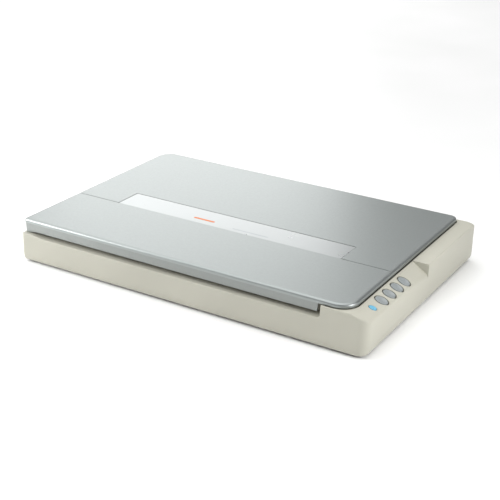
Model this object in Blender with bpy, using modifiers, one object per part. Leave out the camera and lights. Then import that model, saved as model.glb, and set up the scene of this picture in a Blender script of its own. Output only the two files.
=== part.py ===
"""A3 flatbed scanner with a thin lifting lid, a finger recess and a sloped button panel.

Metres, +Z up. The origin is the middle of the footprint on the desk; the front is -Y, the buttons are at +X.
"""
import bpy
import bmesh
from math import atan2, cos, pi, radians, sin
from mathutils import Matrix, Vector

# ---------------------------------------------------------------- driving dimensions
WIDTH = 0.589
DEPTH = 0.392
HEIGHT = 0.0685
GAP = 0.0003                  # clearance left between pieces that touch
LEFT, RIGHT = -WIDTH / 2, WIDTH / 2
FRONT, BACK = -DEPTH / 2, DEPTH / 2
BEYOND = 0.006                # how far a cutter runs past the surface that it opens

# upper housing
BASE_BOTTOM = 0.003
BASE_TOP = 0.0617
BASE_RADIUS = 0.016
BASE_CORNERS = (0.005, BASE_RADIUS, 0.005, 0.005)    # front left, front right, back right, back left
FRONT_DRAFT = 0.004           # the front wall leans back by this much at its top
WALL = 0.003
RIGHT_WALL = 0.0025
DECK = 0.057                  # the deck round the glass
LEDGE = 0.0435                # floor of the finger recess
SIDE_LEDGE = 0.046            # ledge under the lid's wrapped corner and left side
LOW_ROOF = 0.0405
FLANGE_BOTTOM = 0.051
RECESS_LEFT, RECESS_RIGHT = LEFT + 0.019, LEFT + 0.519
RECESS_RAMP = 0.031
RECESS_BACK = FRONT + 0.024
SIDE_LEDGE_BACK = FRONT + 0.3652
RAIL_BACK = FRONT + 0.361     # the sensor's rear rail ends here

# right-hand strip and its button panel
PANEL_WIDTH = 0.027
PANEL_BACK = FRONT + 0.206
PANEL_THICKNESS = 0.0028
STRIP_LEFT = RIGHT - PANEL_WIDTH

# glass and its surround
GLASS_LOW, GLASS_HIGH = (LEFT + 0.0343, FRONT + 0.0363), (LEFT + 0.4857, FRONT + 0.3577)
WINDOW_LOW, WINDOW_HIGH = (LEFT + 0.040, FRONT + 0.042), (LEFT + 0.480, FRONT + 0.352)
GLASS_BOTTOM, GLASS_TOP = 0.0535, 0.0565

# lid
LID_LEFT, LID_RIGHT = LEFT + 0.0005, LEFT + 0.5615
LID_FRONT, LID_BACK = FRONT + 0.008, FRONT + 0.390
LID_CORNERS = (0.005, 0.025, 0.012, 0.025)           # in the same order
RIM_BOTTOM = 0.062
LID_ROOF = 0.0663             # underside of the lid's top plate
LID_WALL = 0.0025
LID_CLEARANCE = 0.0008        # gap round the lid where the housing stands beside it
SKIRT_INSET = 0.001
SKIRT_RIGHT = LEFT + 0.5175
SKIRT_BACK = FRONT + 0.364
SKIRT_BOTTOM = 0.0493
CORNER_SKIRT_BOTTOM = 0.0465
STRIP_LOW, STRIP_HIGH = (LEFT + 0.083, FRONT + 0.141), (LEFT + 0.4795, FRONT + 0.190)

# hinges
HINGE_Y, HINGE_Z = FRONT + 0.3868, 0.0632
HINGE_X = (LEFT + 0.090, LEFT + 0.470)
POST_WIDTH, POST_DEPTH = 0.024, 0.007
PIN_RADIUS, BORE_RADIUS, KNUCKLE_RADIUS = 0.0011, 0.0015, 0.0028

# buttons: distance of each centre from the front
BUTTON_Y = (0.072, 0.097, 0.122, 0.146)
POWER_Y = 0.044
BUTTON_X = LEFT + 0.5765
BUTTON_RADIUS = (0.0094, 0.0080)
POWER_RADIUS = (0.0058, 0.0045)
BUTTON_TRAVEL = 0.0008
BUTTON_PROUD = 0.0006
SWITCH_TOP = 0.0496

# drive
ROD_Y, ROD_Z, ROD_RADIUS = FRONT + 0.197, 0.022, 0.004
CARRIAGE_X, CARRIAGE_TRAVEL = LEFT + 0.022, 0.448
BELT_Y, BELT_LOW, BELT_HIGH = FRONT + 0.170, 0.0205, 0.0255
PULLEY_RADIUS = 0.0065
BELT_THICKNESS = 0.0010
IDLER_X, DRIVE_X = LEFT + 0.0125, LEFT + 0.506
MODULE, PINION_TEETH, GEAR_TEETH = 0.0007, 12, 40
GEAR_LOW, GEAR_HIGH = 0.0285, 0.0325
MOTOR_ANGLE = radians(-45)
GEAR_DISTANCE = MODULE * (PINION_TEETH + GEAR_TEETH) / 2
MOTOR_X = DRIVE_X + GEAR_DISTANCE * cos(MOTOR_ANGLE)
MOTOR_Y = BELT_Y + GEAR_DISTANCE * sin(MOTOR_ANGLE)
TRAY_FLOOR, TRAY_TOP = 0.0055, 0.014

# ---------------------------------------------------------------- scene, materials and helpers
for old in list(bpy.data.objects):
    bpy.data.objects.remove(old, do_unlink=True)


def new_collection(name, hidden=False):
    made = bpy.data.collections.new(name)
    bpy.context.scene.collection.children.link(made)
    made.hide_render = hidden
    return made


PARTS = new_collection("flatbed_scanner")
CUTTERS = new_collection("cutters", hidden=True)

FINISHES = {                  # colour, roughness, metallic
    "ivory_plastic": ((0.72, 0.71, 0.64), 0.45, 0.0),
    "silver_lid": ((0.50, 0.53, 0.53), 0.30, 0.3),
    "gloss_strip": ((0.72, 0.74, 0.75), 0.12, 0.2),
    "white_plastic": ((0.80, 0.80, 0.78), 0.5, 0.0),
    "white_foam": ((0.85, 0.85, 0.84), 0.8, 0.0),
    "black_plastic": ((0.03, 0.03, 0.03), 0.5, 0.0),
    "grey_plastic": ((0.30, 0.30, 0.31), 0.5, 0.0),
    "button_grey": ((0.42, 0.44, 0.45), 0.35, 0.1),
    "power_blue": ((0.18, 0.50, 0.70), 0.3, 0.0),
    "clear_glass": ((0.80, 0.88, 0.86), 0.03, 0.0),
    "steel": ((0.60, 0.60, 0.62), 0.25, 1.0),
    "rubber": ((0.04, 0.04, 0.04), 0.85, 0.0),
    "circuit_board": ((0.03, 0.22, 0.10), 0.45, 0.0),
    "nylon_gear": ((0.82, 0.81, 0.76), 0.45, 0.0),
    "flat_cable": ((0.78, 0.78, 0.76), 0.5, 0.0),
    "lens_acrylic": ((0.55, 0.60, 0.66), 0.15, 0.0),
}


def material(finish):
    """The finish's Principled material, made the first time it is asked for."""
    found = bpy.data.materials.get(finish)
    if found:
        return found
    colour, roughness, metallic = FINISHES[finish]
    made = bpy.data.materials.new(finish)
    made.use_nodes = True
    shader = made.node_tree.nodes["Principled BSDF"]
    shader.inputs["Base Color"].default_value = (*colour, 1)
    shader.inputs["Roughness"].default_value = roughness
    shader.inputs["Metallic"].default_value = metallic
    return made


def add(name, mesh, finish=None, at=(0, 0, 0), smooth=False):
    """Links a mesh as a sub-part, or as a hidden cutter when it has no finish."""
    made = bpy.data.objects.new(name, mesh)
    made.location = at
    if finish:
        PARTS.objects.link(made)
        mesh.materials.append(material(finish))
    else:
        CUTTERS.objects.link(made)
        made.hide_render = True
        made.display_type = "WIRE"
    if smooth:
        mesh.shade_smooth()
        mesh.set_sharp_from_angle(angle=radians(35))
    return made


def to_mesh(shape, name):
    mesh = bpy.data.meshes.new(name)
    shape.to_mesh(mesh)
    shape.free()
    return mesh


def round_corners(shape, radii, segments):
    """Rounds a box's upright edges: front left, front right, back right, back left."""
    for (side_x, side_y), radius in zip(((-1, -1), (1, -1), (1, 1), (-1, 1)), radii):
        if radius:
            upright = [e for e in shape.edges if abs(e.verts[0].co.z - e.verts[1].co.z) > 1e-6
                       and e.verts[0].co.x * side_x > 0 and e.verts[0].co.y * side_y > 0]
            bmesh.ops.bevel(shape, geom=upright, offset=radius, segments=segments, profile=0.5,
                            affect="EDGES")


def tightened(radii, change):
    """The same corners for an outline that lies further in (or further out, when negative)."""
    return tuple(max(radius - change, 0.0) for radius in radii)


def box(name, low, high, finish=None, radius=0.0, segments=6, edit=None):
    """A box from its low and high corners, its upright edges rounded by one radius or four."""
    low, high = Vector(low), Vector(high)
    middle = (low + high) / 2
    shape = bmesh.new()
    bmesh.ops.create_cube(shape, size=1)
    bmesh.ops.scale(shape, vec=high - low, verts=shape.verts)
    round_corners(shape, radius if isinstance(radius, tuple) else (radius,) * 4, segments)
    if edit:
        edit(shape, middle)
    return add(name, to_mesh(shape, name), finish, middle)


def cylinder(name, at, radius, length, finish=None, axis="Z", sides=24):
    """A cylinder centred at a point, along one axis."""
    shape = bmesh.new()
    bmesh.ops.create_cone(shape, cap_ends=True, segments=sides, radius1=radius, radius2=radius,
                          depth=length)
    turn = {"X": Matrix.Rotation(pi / 2, 3, "Y"), "Y": Matrix.Rotation(pi / 2, 3, "X"),
            "Z": Matrix.Identity(3)}
    bmesh.ops.rotate(shape, matrix=turn[axis], verts=shape.verts)
    return add(name, to_mesh(shape, name), finish, at, smooth=True)


def boolean(target, other, operation):
    step = target.modifiers.new(f"{operation.lower()}_{other.name}", "BOOLEAN")
    step.operation = operation
    step.object = other
    step.solver = "EXACT"


def cut(target, *cutters):
    for cutter in cutters:
        boolean(target, cutter, "DIFFERENCE")


def join(target, *pieces):
    for piece in pieces:
        boolean(target, piece, "UNION")


def turned(name, at, profile, finish, sides=24, stretch=(1, 1)):
    """A solid of revolution about local Z from (radius, height) points that run from the top down."""
    mesh = bpy.data.meshes.new(name)
    mesh.from_pydata([(r, 0, z) for r, z in profile], [(i, i + 1) for i in range(len(profile) - 1)], [])
    made = add(name, mesh, finish, at)
    made.scale = (*stretch, 1)
    screw = made.modifiers.new("turn", "SCREW")
    screw.steps = screw.render_steps = sides
    screw.use_merge_vertices = True
    screw.merge_threshold = 0.0001
    screw.use_smooth_shade = False
    return made


def gear_mesh(name, teeth, low, high, phase, bore=0.0):
    """A spur gear with straight-flanked teeth, thinner than half a pitch so that they run free."""
    pitch = MODULE * teeth / 2
    root, tip = pitch - 1.15 * MODULE, pitch + 0.75 * MODULE
    outline = []
    for tooth in range(teeth):
        for radius, share in ((root, -0.33), (tip, -0.13), (tip, 0.13), (root, 0.33)):
            angle = phase + 2 * pi * (tooth + share) / teeth
            outline.append((radius * cos(angle), radius * sin(angle)))
    shape = bmesh.new()
    ring = [shape.verts.new((x, y, low)) for x, y in outline]
    face = shape.faces.new(ring)
    if face.normal.z > 0:
        face.normal_flip()
    top = bmesh.ops.extrude_face_region(shape, geom=[face])["geom"]
    lifted = [v for v in top if isinstance(v, bmesh.types.BMVert)]
    bmesh.ops.translate(shape, verts=lifted, vec=(0, 0, high - low))
    bmesh.ops.recalc_face_normals(shape, faces=shape.faces)
    return to_mesh(shape, name)


# ---------------------------------------------------------------- the panel's twisted slope
def panel_drop(from_front):
    """How far the panel's outer edge lies below its inner edge, at a distance from the front."""
    along = min(max(from_front / (PANEL_BACK - FRONT), 0), 1)
    return 0.0065 + 0.0055 * along + 0.0056 * along ** 6


def panel_height(x, y):
    return 0.062 - panel_drop(y - FRONT) * (x - STRIP_LEFT) / PANEL_WIDTH


def panel_tilt(y):
    return atan2(panel_drop(y - FRONT), PANEL_WIDTH)


def follow_panel(above, offset=0.0):
    """An edit for box(): puts its lower (above) or upper (not above) face on the panel's slope."""
    def edit(shape, middle):
        lengthwise = [e for e in shape.edges if abs(e.verts[0].co.y - e.verts[1].co.y) > 1e-6]
        bmesh.ops.subdivide_edges(shape, edges=lengthwise, cuts=8, use_grid_fill=True)
        for vert in shape.verts:
            if (vert.co.z < 0) == above:
                vert.co.z = panel_height(vert.co.x + middle.x, vert.co.y + middle.y) + offset - middle.z
    return edit


# ---------------------------------------------------------------- upper housing
def lean_front(shape, middle):
    """Leans the front wall back towards its top."""
    reach = FRONT + BASE_RADIUS - middle.y
    for vert in shape.verts:
        if vert.co.z > 0 and vert.co.y < reach:
            vert.co.y += FRONT_DRAFT * (reach - vert.co.y) / BASE_RADIUS


def ramp_recess(shape, middle):
    """Slopes the recess's left end up to the side ledge."""
    for vert in shape.verts:
        if vert.co.x < 0 and vert.co.z < 0:
            vert.co.z = SIDE_LEDGE - middle.z


def build_housing():
    housing = box("upper_housing", (LEFT, FRONT, BASE_BOTTOM), (RIGHT, BACK, BASE_TOP), "ivory_plastic",
                  BASE_CORNERS, 8, lean_front)
    top = BASE_TOP + BEYOND
    bay_right, bay_back = LID_RIGHT + LID_CLEARANCE, LID_BACK + LID_CLEARANCE
    open_back = LID_RIGHT - 0.0055        # left of this the deck runs out at the back
    pocket_corners = (0.0, *tightened(LID_CORNERS, -LID_CLEARANCE)[1:3], 0.0)
    out_left, out_front, out_back = LEFT - BEYOND, FRONT - BEYOND, BACK + BEYOND
    cut(
        housing,
        box("cut_lid_bay", (out_left, RECESS_BACK, DECK), (open_back, out_back, top)),
        box("cut_lid_pocket", (RECESS_RIGHT, LID_FRONT - LID_CLEARANCE, DECK), (bay_right, bay_back, top),
            radius=pocket_corners, segments=10),
        box("cut_recess", (RECESS_LEFT + RECESS_RAMP, out_front, LEDGE), (RECESS_RIGHT, RECESS_BACK, top)),
        box("cut_recess_ramp", (RECESS_LEFT, out_front, LEDGE),
            (RECESS_LEFT + RECESS_RAMP, RECESS_BACK, top),
            edit=ramp_recess),
        box("cut_corner", (out_left, out_front, SIDE_LEDGE), (RECESS_LEFT, RECESS_BACK, top)),
        box("cut_left_ledge", (out_left, FRONT, SIDE_LEDGE), (LEFT + 0.0070, SIDE_LEDGE_BACK, top)),
        box("cut_panel", (STRIP_LEFT, out_front, 0.05), (RIGHT + BEYOND, PANEL_BACK, top),
            edit=follow_panel(True)),
        box("hollow_low", (LEFT + WALL, FRONT + 0.0065, BASE_BOTTOM - BEYOND),
            (RIGHT - RIGHT_WALL, BACK - WALL, LOW_ROOF), radius=0.012),
        box("hollow_high", (LEFT + 0.0098, RECESS_BACK + WALL, LOW_ROOF - 0.001),
            (STRIP_LEFT - WALL, RAIL_BACK, FLANGE_BOTTOM)),
        box("hollow_rear", (LEFT + 0.0098, RAIL_BACK + WALL, LOW_ROOF - 0.001),
            (STRIP_LEFT - WALL, HINGE_Y - 0.0072, DECK - WALL)),
        box("hollow_panel", (STRIP_LEFT + 0.0025, FRONT + 0.012, LOW_ROOF - 0.001),
            (RIGHT - RIGHT_WALL, PANEL_BACK - WALL, 0.05), edit=follow_panel(False, -PANEL_THICKNESS)),
        box("hollow_strip", (STRIP_LEFT + 0.0025, PANEL_BACK + WALL, LOW_ROOF - 0.001),
            (RIGHT - RIGHT_WALL, BACK - 0.012, BASE_TOP - WALL)),
        box("cut_glass_seat", (*(v - GAP for v in GLASS_LOW), GLASS_BOTTOM - GAP),
            (*(v + GAP for v in GLASS_HIGH), top)),
        box("cut_window", (*WINDOW_LOW, LOW_ROOF), (*WINDOW_HIGH, top)),
    )
    for number, y in enumerate((*BUTTON_Y, POWER_Y)):
        radius = POWER_RADIUS if y == POWER_Y else BUTTON_RADIUS
        hole = cylinder(f"cut_button_{number}", (0, 0, 0), 1, 0.03, sides=32)
        place_on_panel(hole, FRONT + y)
        hole.scale = (radius[0] + 0.0007, radius[1] + 0.0007, 1)
        cut(housing, hole)
    for side, x in zip(("left", "right"), HINGE_X):
        guide = box(f"guide_{side}", (x - 0.0155, HINGE_Y - 0.007, 0.016),
                    (x + 0.0155, BACK - 0.0005, 0.0550))
        well = box(f"cut_well_{side}", (x - POST_WIDTH / 2 - GAP, HINGE_Y - POST_DEPTH / 2 - GAP, 0.010),
                   (x + POST_WIDTH / 2 + GAP, HINGE_Y + POST_DEPTH / 2 + GAP, BASE_TOP))
        join(housing, guide)
        cut(housing, well)
    for number, (x, y) in enumerate(SCREW_POINTS):
        roof = LOW_ROOF + 0.002
        boss = cylinder(f"boss_{number}", (x, y, (TRAY_FLOOR + GAP + roof) / 2), 0.0042,
                        roof - TRAY_FLOOR - GAP)
        join(housing, boss)
        cut(housing, cylinder(f"cut_boss_{number}", (x, y, 0.013), 0.0018, 0.020, sides=12))
    cut(
        housing,
        box("cut_usb", (USB_X - 0.0065, BACK - 0.006, 0.0115), (USB_X + 0.0065, out_back, 0.0235)),
        box("cut_power", (POWER_X - 0.0055, BACK - 0.006, 0.0115), (POWER_X + 0.0055, out_back, 0.0235)),
    )
    return housing


def place_on_panel(piece, y, x=BUTTON_X):
    """Stands a piece upright on the panel's slope, its origin on the surface."""
    piece.location = (x, y, panel_height(x, y))
    piece.rotation_euler = (0, panel_tilt(y), 0)


# ---------------------------------------------------------------- base: tray, feet, screws
SCREW_POINTS = [(LEFT + 0.050, FRONT + 0.018), (LEFT + 0.538, FRONT + 0.018),
                (LEFT + 0.050, BACK - 0.014), (LEFT + 0.538, BACK - 0.014)]
FOOT_POINTS = [(x, y) for y in (FRONT + 0.034, BACK - 0.034) for x in (LEFT + 0.036, RIGHT - 0.036)]
USB_X, POWER_X = LEFT + 0.512, LEFT + 0.560


def build_tray():
    low = (LEFT + WALL + 0.0004, FRONT + 0.0069, BASE_BOTTOM)
    high = (RIGHT - RIGHT_WALL - 0.0004, BACK - WALL - 0.0004, TRAY_TOP)
    tray = box("bottom_tray", low, high, "ivory_plastic", 0.0116)
    wall = 0.0022
    cut(tray, box("hollow_tray", (low[0] + wall, low[1] + wall, TRAY_FLOOR),
                  (high[0] - wall, high[1] - wall, TRAY_TOP + BEYOND), radius=0.0094))
    cut(tray, box("cut_tray_sockets", (USB_X - 0.009, BACK - 0.008, 0.0105),
                  (POWER_X + 0.009, BACK, TRAY_TOP + BEYOND)))
    join(tray, box("spring_lug", (LEFT + 0.0405, BELT_Y - 0.004, TRAY_FLOOR - 0.001),
                   (LEFT + 0.0425, BELT_Y + 0.004, 0.016)))
    for number, (x, y) in enumerate(SCREW_POINTS):
        cut(tray, cylinder(f"cut_tray_screw_{number}", (x, y, 0.004), 0.0018, 0.01, sides=16),
            cylinder(f"cut_tray_head_{number}", (x, y, 0.0025), 0.0034, 0.0036, sides=16))


def build_feet():
    for number, (x, y) in enumerate(FOOT_POINTS):
        cylinder(f"foot_{number + 1}", (x, y, (BASE_BOTTOM - GAP) / 2), 0.008, BASE_BOTTOM - GAP, "rubber")


def build_screws():
    """Pan-head screws from below, through the tray into the housing's bosses."""
    for number, (x, y) in enumerate(SCREW_POINTS):
        head, shank, top = 0.0030, 0.0014, 0.018
        turned(f"tray_screw_{number + 1}", (x, y, 0),
               [(0, top), (shank, top - 0.001), (shank, 0.0040), (head, 0.0040), (head, 0.0032),
                (0, 0.0030)],
               "steel", sides=12)


def build_sockets():
    for name, x, width, hole in (("usb_port", USB_X, 0.012, None), ("power_inlet", POWER_X, 0.010, 0.0032)):
        shell = box(name, (x - width / 2, BACK - 0.016, 0.0118), (x + width / 2, BACK - 0.0004, 0.0232),
                    "black_plastic" if hole else "steel")
        if hole:
            cut(shell, cylinder("cut_barrel", (x, BACK - 0.004, 0.0175), hole, 0.018, axis="Y"))
        else:
            cut(shell, box("cut_usb_mouth", (x - 0.0045, BACK - 0.013, 0.0134),
                           (x + 0.0045, BACK + 0.005, 0.0216)))


# ---------------------------------------------------------------- glass and rulers
def build_glass():
    box("platen_glass", (*GLASS_LOW, GLASS_BOTTOM), (*GLASS_HIGH, GLASS_TOP), "clear_glass")
    low, high = GLASS_TOP + GAP, GLASS_TOP + 0.0007
    inset = 0.0004
    box("left_ruler", (GLASS_LOW[0] + inset, GLASS_LOW[1] + inset, low),
        (WINDOW_LOW[0] + 0.001, GLASS_HIGH[1] - inset, high), "white_plastic")
    box("rear_ruler", (WINDOW_LOW[0] + 0.0015, WINDOW_HIGH[1] - 0.001, low),
        (GLASS_HIGH[0] - inset, GLASS_HIGH[1] - inset, high), "white_plastic")


# ---------------------------------------------------------------- lid
def build_lid():
    lid = box("lid_shell", (LID_LEFT, LID_FRONT, RIM_BOTTOM), (LID_RIGHT, LID_BACK, HEIGHT), "silver_lid",
              LID_CORNERS, 8)
    cut(lid, box("hollow_lid", (LID_LEFT + LID_WALL, LID_FRONT + LID_WALL, RIM_BOTTOM - BEYOND),
                 (LID_RIGHT - LID_WALL, LID_BACK - LID_WALL, LID_ROOF),
                 radius=tightened(LID_CORNERS, LID_WALL), segments=8))
    skirt = box("skirt", (LID_LEFT + SKIRT_INSET, LID_FRONT + SKIRT_INSET, CORNER_SKIRT_BOTTOM),
                (LID_RIGHT - SKIRT_INSET, LID_BACK - SKIRT_INSET, RIM_BOTTOM + 0.002),
                radius=tightened(LID_CORNERS, SKIRT_INSET), segments=8)
    inner = SKIRT_INSET + LID_WALL
    cut(
        skirt,
        box("hollow_skirt", (LID_LEFT + inner, LID_FRONT + inner, 0.03),
            (LID_RIGHT - inner, LID_BACK - inner, 0.09),
            radius=tightened(LID_CORNERS, inner), segments=8),
        box("cut_skirt_right", (SKIRT_RIGHT, FRONT - BEYOND, 0.03), (RIGHT, BACK, 0.09)),
        box("cut_skirt_rear", (LEFT - BEYOND, SKIRT_BACK, 0.03), (RIGHT, BACK + BEYOND, 0.09)),
        box("cut_skirt_front", (RECESS_LEFT, FRONT - BEYOND, 0.03), (RIGHT, FRONT + 0.05, SKIRT_BOTTOM)),
    )
    join(lid, skirt)
    cut(lid, box("cut_strip_seat", (STRIP_LOW[0] - GAP, STRIP_LOW[1] - GAP, HEIGHT - 0.0012),
                 (STRIP_HIGH[0] + GAP, STRIP_HIGH[1] + GAP, HEIGHT + BEYOND)))
    for side, x in zip(("left", "right"), HINGE_X):
        cut(lid, box(f"cut_rim_{side}", (x - 0.018, LID_BACK - 0.006, 0.050),
                     (x + 0.018, LID_BACK + BEYOND, LID_ROOF)))
    box("lid_accent_strip", (*STRIP_LOW, HEIGHT - 0.0009), (*STRIP_HIGH, HEIGHT), "gloss_strip")
    box("lid_inner_panel", (LID_LEFT + 0.006, LID_FRONT + 0.006, 0.0623),
        (LID_RIGHT - 0.006, FRONT + 0.362, 0.0643),
        "white_plastic", 0.018)
    box("document_pad", (LEFT + 0.029, FRONT + 0.031, 0.0577), (LEFT + 0.492, FRONT + 0.360, 0.0620),
        "white_foam", 0.004, 3)


def build_hinges():
    for side, x in zip(("left", "right"), HINGE_X):
        half = 0.0115
        post = box(f"hinge_post_{side}", (x - POST_WIDTH / 2, HINGE_Y - POST_DEPTH / 2, 0.018),
                   (x + POST_WIDTH / 2, HINGE_Y + POST_DEPTH / 2, 0.0555), "grey_plastic")
        join(post, box(f"neck_{side}", (x - half, HINGE_Y - 0.0019, 0.054),
                       (x + half, HINGE_Y + 0.0019, HINGE_Z)),
             cylinder(f"knuckle_{side}", (x, HINGE_Y, HINGE_Z), KNUCKLE_RADIUS, 2 * half, axis="X",
                      sides=20))
        cut(post, cylinder(f"cut_knuckle_{side}", (x, HINGE_Y, HINGE_Z), BORE_RADIUS, 0.04, axis="X",
                           sides=16))
        cylinder(f"hinge_pin_{side}", (x, HINGE_Y, HINGE_Z), PIN_RADIUS, 0.033, "steel", axis="X", sides=16)
        leaf = box(f"hinge_leaf_{side}", (x - 0.0165, HINGE_Y - 0.030, 0.0646),
                   (x + 0.0165, HINGE_Y - 0.0045, 0.0660), "grey_plastic")
        for end in (-1, 1):
            centre = x + end * 0.0142
            join(leaf, box(f"arm_{side}{end}", (centre - 0.0022, HINGE_Y - 0.012, HINGE_Z + 0.0004),
                           (centre + 0.0022, HINGE_Y, HINGE_Z + KNUCKLE_RADIUS)),
                 cylinder(f"ear_{side}{end}", (centre, HINGE_Y, HINGE_Z), KNUCKLE_RADIUS, 0.0044, axis="X",
                          sides=20))
        cut(leaf, cylinder(f"cut_ear_{side}", (x, HINGE_Y, HINGE_Z), BORE_RADIUS, 0.05, axis="X", sides=16))


# ---------------------------------------------------------------- buttons and their board
def build_buttons():
    """Oval caps with a retaining flange under the panel and a stem that reaches its switch."""
    names = [f"function_button_{n + 1}" for n in range(len(BUTTON_Y))] + ["power_button"]
    for name, from_front in zip(names, (*BUTTON_Y, POWER_Y)):
        power = from_front == POWER_Y
        rx, ry = POWER_RADIUS if power else BUTTON_RADIUS
        y = FRONT + from_front
        tilt = panel_tilt(y)
        under = PANEL_THICKNESS + 0.0008
        stem_end = (panel_height(BUTTON_X, y) - SWITCH_TOP) / cos(tilt) - BUTTON_TRAVEL - 0.0005
        flange = (ry + 0.0011) / ry
        cap = turned(name, (0, 0, 0),
                     [(0, BUTTON_PROUD), (0.80, BUTTON_PROUD), (0.93, BUTTON_PROUD - 0.0003), (1, 0),
                      (1, -under),
                      (flange, -under), (flange, -under - 0.001), (0.35, -under - 0.001), (0.35, -stem_end),
                      (0, -stem_end)],
                     "power_blue" if power else "button_grey", sides=28, stretch=(rx, ry))
        place_on_panel(cap, y)


def build_button_board():
    """A board parallel to the panel, with one tactile switch under each stem."""
    tilt = panel_tilt(FRONT + 0.110)
    middle = Vector((BUTTON_X - 0.0012, FRONT + 0.095, 0.0452))
    board = box("button_board", (-0.0088, -0.064, -0.0016), (0.0088, 0.064, 0), "circuit_board")
    board.matrix_world = Matrix.Translation(middle) @ Matrix.Rotation(tilt, 4, "Y") @ board.matrix_world
    for number, from_front in enumerate((*BUTTON_Y, POWER_Y)):
        y = FRONT + from_front
        depth = (panel_height(BUTTON_X, y) - SWITCH_TOP) / cos(panel_tilt(y))
        foot = Vector((BUTTON_X - depth * sin(panel_tilt(y)), y, 0))
        rise = 0.0024
        switch = box(f"switch_{number}", (-0.003, -0.003, -0.0010), (0.003, 0.003, rise))
        across = (foot.x - middle.x) / cos(tilt)
        switch.matrix_world = (Matrix.Translation(middle) @ Matrix.Rotation(tilt, 4, "Y")
                               @ Matrix.Translation((across, y - middle.y, 0)) @ switch.matrix_world)
        join(board, switch)


# ---------------------------------------------------------------- electronics
def build_main_board():
    board = box("main_board", (LEFT + 0.498, FRONT + 0.225, 0.0085), (LEFT + 0.574, FRONT + 0.345, 0.0101),
                "circuit_board")
    chips = {"processor": (0.530, 0.285, 0.014, 0.0016), "memory": (0.552, 0.262, 0.009, 0.0012),
             "cable_socket": (0.503, 0.235, 0.0, 0.0040), "buck_coil": (0.558, 0.325, 0.006, 0.0050)}
    for name, (x, y, half, rise) in chips.items():
        wide, deep = (half, half) if half else (0.0028, 0.0105)
        join(board, box(f"{name}_block", (LEFT + x - wide, FRONT + y - deep, 0.0095),
                        (LEFT + x + wide, FRONT + y + deep, 0.0101 + rise)))


# ---------------------------------------------------------------- carriage with the image sensor
def build_carriage():
    x, half = CARRIAGE_X, 0.0105
    low_y, high_y = FRONT + 0.0285, FRONT + 0.3595
    carriage = box("carriage", (x - half, low_y, 0.0330), (x + half, high_y, 0.0430), "black_plastic")
    cut(carriage, box("hollow_carriage", (x - half + 0.0018, low_y + 0.0018, 0.0350),
                      (x + half - 0.0018, high_y - 0.0018, 0.06)))
    join(carriage, box("sleeve", (x - half, ROD_Y - 0.0075, 0.0150), (x + half, ROD_Y + 0.0075, 0.0345)),
         box("belt_clamp", (x - 0.0005, BELT_Y + PULLEY_RADIUS - 0.0020, 0.0180),
             (x + half, BELT_Y + PULLEY_RADIUS + 0.0040, 0.0345)))
    cut(carriage, cylinder("cut_sleeve", (x, ROD_Y, ROD_Z), ROD_RADIUS + 0.0004, 0.05, axis="X"),
        box("cut_clamp", (x - 0.02, BELT_Y + PULLEY_RADIUS - GAP, 0.0100),
            (x + 0.02, BELT_Y + PULLEY_RADIUS + BELT_THICKNESS + GAP, BELT_HIGH + GAP)))
    cis_low, cis_high = FRONT + 0.0308, FRONT + 0.3572
    cis = box("cis_housing", (x - 0.0082, cis_low, 0.0385), (x + 0.0082, cis_high, 0.0492), "black_plastic")
    cut(cis, box("cut_lens_slot", (x - 0.0016, cis_low + 0.012, 0.0430),
                 (x + 0.0016, cis_high - 0.012, 0.06)),
        box("cut_light_slot", (x + 0.0030, cis_low + 0.012, 0.0450), (x + 0.0068, cis_high - 0.012, 0.06)))
    box("cis_lens_array", (x - 0.0012, cis_low + 0.0125, 0.0433), (x + 0.0012, cis_high - 0.0125, 0.0489),
        "lens_acrylic")
    box("cis_light_guide", (x + 0.0034, cis_low + 0.0125, 0.0453), (x + 0.0064, cis_high - 0.0125, 0.0487),
        "clear_glass")
    for side, y in (("front", cis_low + 0.006), ("rear", cis_high - 0.0025)):
        box(f"rail_slider_{side}", (x - 0.0060, y - 0.0022, 0.0495),
            (x + 0.0060, y + 0.0022, FLANGE_BOTTOM - GAP),
            "nylon_gear")
    for side, y in (("front", cis_low + 0.045), ("rear", cis_high - 0.045)):
        coil(f"cis_spring_{side}", (x, y, 0.0356), "Z", 0.0024, 0.0026, 0.0003, 3)


def coil(name, start, axis, length, radius, wire, turns):
    """An open compression spring that starts at a point and runs along +axis."""
    curve = bpy.data.curves.new(name, "CURVE")
    curve.dimensions = "3D"
    curve.bevel_depth = wire
    curve.bevel_resolution = 1
    curve.use_fill_caps = True
    count = turns * 10
    path = curve.splines.new("POLY")
    path.points.add(count)
    for i, point in enumerate(path.points):
        angle = 2 * pi * turns * i / count
        along = length * i / count
        local = Vector((radius * cos(angle), radius * sin(angle), along))
        if axis == "X":
            local = Vector((local.z, local.x, local.y))
        point.co = (*local, 1)
    made = bpy.data.objects.new(name, curve)
    made.location = start
    curve.materials.append(material("steel"))
    PARTS.objects.link(made)


def build_guide():
    length_end = LEFT + 0.4915
    cylinder("guide_rod", ((LEFT + 0.0055 + length_end) / 2, ROD_Y, ROD_Z), ROD_RADIUS,
             length_end - LEFT - 0.0055,
             "steel", axis="X")
    for side, low_x, high_x in (("left", LEFT + 0.0058, LEFT + 0.0095),
                                ("right", LEFT + 0.4860, LEFT + 0.4930)):
        holder = box(f"rod_holder_{side}", (low_x, ROD_Y - 0.0085, TRAY_FLOOR + GAP),
                     (high_x, ROD_Y + 0.0085, 0.0295),
                     "grey_plastic")
        cut(holder, cylinder(f"cut_holder_{side}", ((low_x + high_x) / 2, ROD_Y, ROD_Z), ROD_RADIUS + GAP,
                             0.03, axis="X"))


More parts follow.
